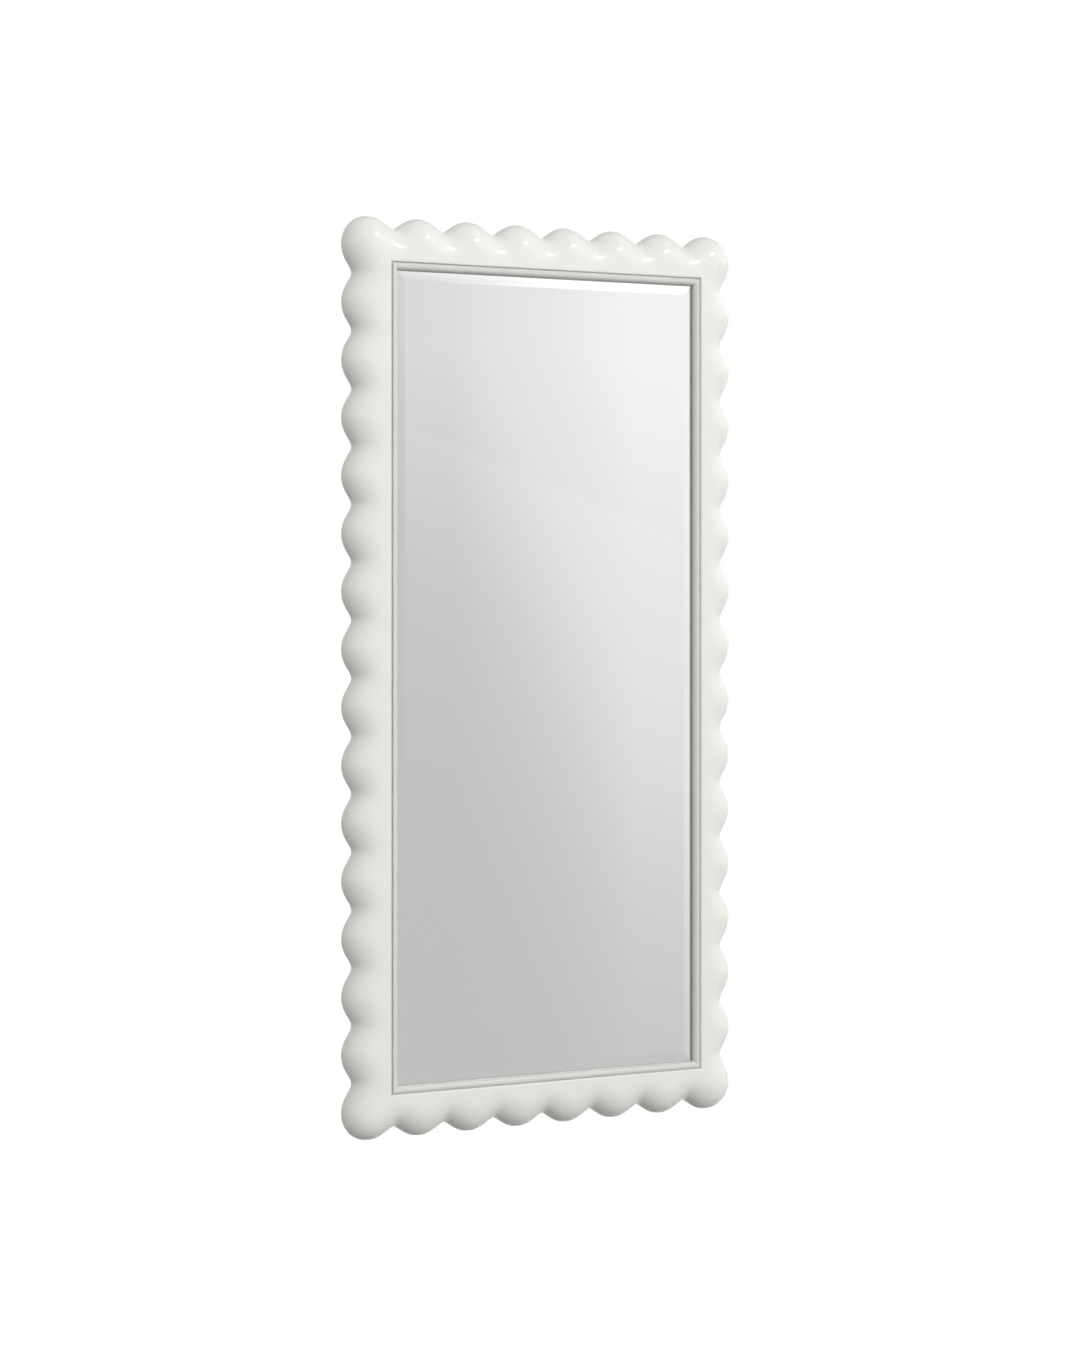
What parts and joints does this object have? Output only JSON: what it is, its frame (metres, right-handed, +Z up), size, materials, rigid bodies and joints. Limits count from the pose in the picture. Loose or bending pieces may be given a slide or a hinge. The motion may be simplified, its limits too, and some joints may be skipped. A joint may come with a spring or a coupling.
{
  "type": "full-length mirror",
  "caption": "Upright full-length mirror in a deep scalloped, rounded frame with an inner bead, bevelled glass, a screwed back panel and two swinging wall-hanger rings.",
  "frame": {"origin": "middle of the bounding box in plan, at floor level under the lowest scallops", "axes": "+Z up, +X to the right of somebody facing the glass, -Y out of the glass, +Y towards the wall"},
  "size_m": [1.0668, 0.058, 2.1316],
  "materials": {
    "lacquer": "off-white satin lacquer on a shaped hardwood and fibreboard moulding",
    "silvered_glass": "clear silvered plate with a polished bevel",
    "backing_film": "matt grey adhesive film",
    "foam": "dark closed-cell foam strip",
    "rubber": "moulded black rubber",
    "fibreboard": "raw medium-density fibreboard",
    "zinc_steel": "bright zinc-plated steel",
    "beech": "raw compressed beech"
  },
  "bodies": {
    "frame": {"back_panel": "fibreboard", "bottom_bead": "lacquer", "bottom_rail": "lacquer", "corner_plate_bottom_left": "zinc_steel", "corner_plate_bottom_right": "zinc_steel", "corner_plate_top_left": "zinc_steel", "corner_plate_top_right": "zinc_steel", "foam_strip_bottom": "foam", "foam_strip_left": "foam", "foam_strip_right": "foam", "foam_strip_top": "foam", "hanger_screw_left_1": "zinc_steel", "hanger_screw_left_2": "zinc_steel", "hanger_screw_right_1": "zinc_steel", "hanger_screw_right_2": "zinc_steel", "hanger_strap_left": "zinc_steel", "hanger_strap_right": "zinc_steel", "left_bead": "lacquer", "left_stile": "lacquer", "mirror_glass": "silvered_glass", "mitre_biscuit_bottom_left": "beech", "mitre_biscuit_bottom_right": "beech", "mitre_biscuit_top_left": "beech", "mitre_biscuit_top_right": "beech", "panel_screw_bottom": "zinc_steel", "panel_screw_left_1": "zinc_steel", "panel_screw_left_2": "zinc_steel", "panel_screw_left_3": "zinc_steel", "panel_screw_left_4": "zinc_steel", "panel_screw_right_1": "zinc_steel", "panel_screw_right_2": "zinc_steel", "panel_screw_right_3": "zinc_steel", "panel_screw_right_4": "zinc_steel", "panel_screw_top": "zinc_steel", "plate_screw_bottom_left_1": "zinc_steel", "plate_screw_bottom_left_2": "zinc_steel", "plate_screw_bottom_right_1": "zinc_steel", "plate_screw_bottom_right_2": "zinc_steel", "plate_screw_top_left_1": "zinc_steel", "plate_screw_top_left_2": "zinc_steel", "plate_screw_top_right_1": "zinc_steel", "plate_screw_top_right_2": "zinc_steel", "right_bead": "lacquer", "right_stile": "lacquer", "safety_film": "backing_film", "setting_block_left": "rubber", "setting_block_right": "rubber", "side_spacer_left": "rubber", "side_spacer_right": "rubber", "top_bead": "lacquer", "top_rail": "lacquer", "wall_bumper_bottom_left": "rubber", "wall_bumper_bottom_right": "rubber", "wall_bumper_top_left": "rubber", "wall_bumper_top_right": "rubber"},
    "left_ring": {"hanger_ring_left": "zinc_steel"},
    "right_ring": {"hanger_ring_right": "zinc_steel"}
  },
  "joints": [
    {"name": "left_ring_swing", "type": "hinge", "parent": "frame", "child": "left_ring", "pos_m": [-0.4784, 0.0251, 1.66221], "axis": [1, 0, 0], "range_deg": [0, 180]},
    {"name": "right_ring_swing", "type": "hinge", "parent": "frame", "child": "right_ring", "pos_m": [0.4784, 0.0251, 1.66221], "axis": [1, 0, 0], "range_deg": [0, 180]}
  ]
}
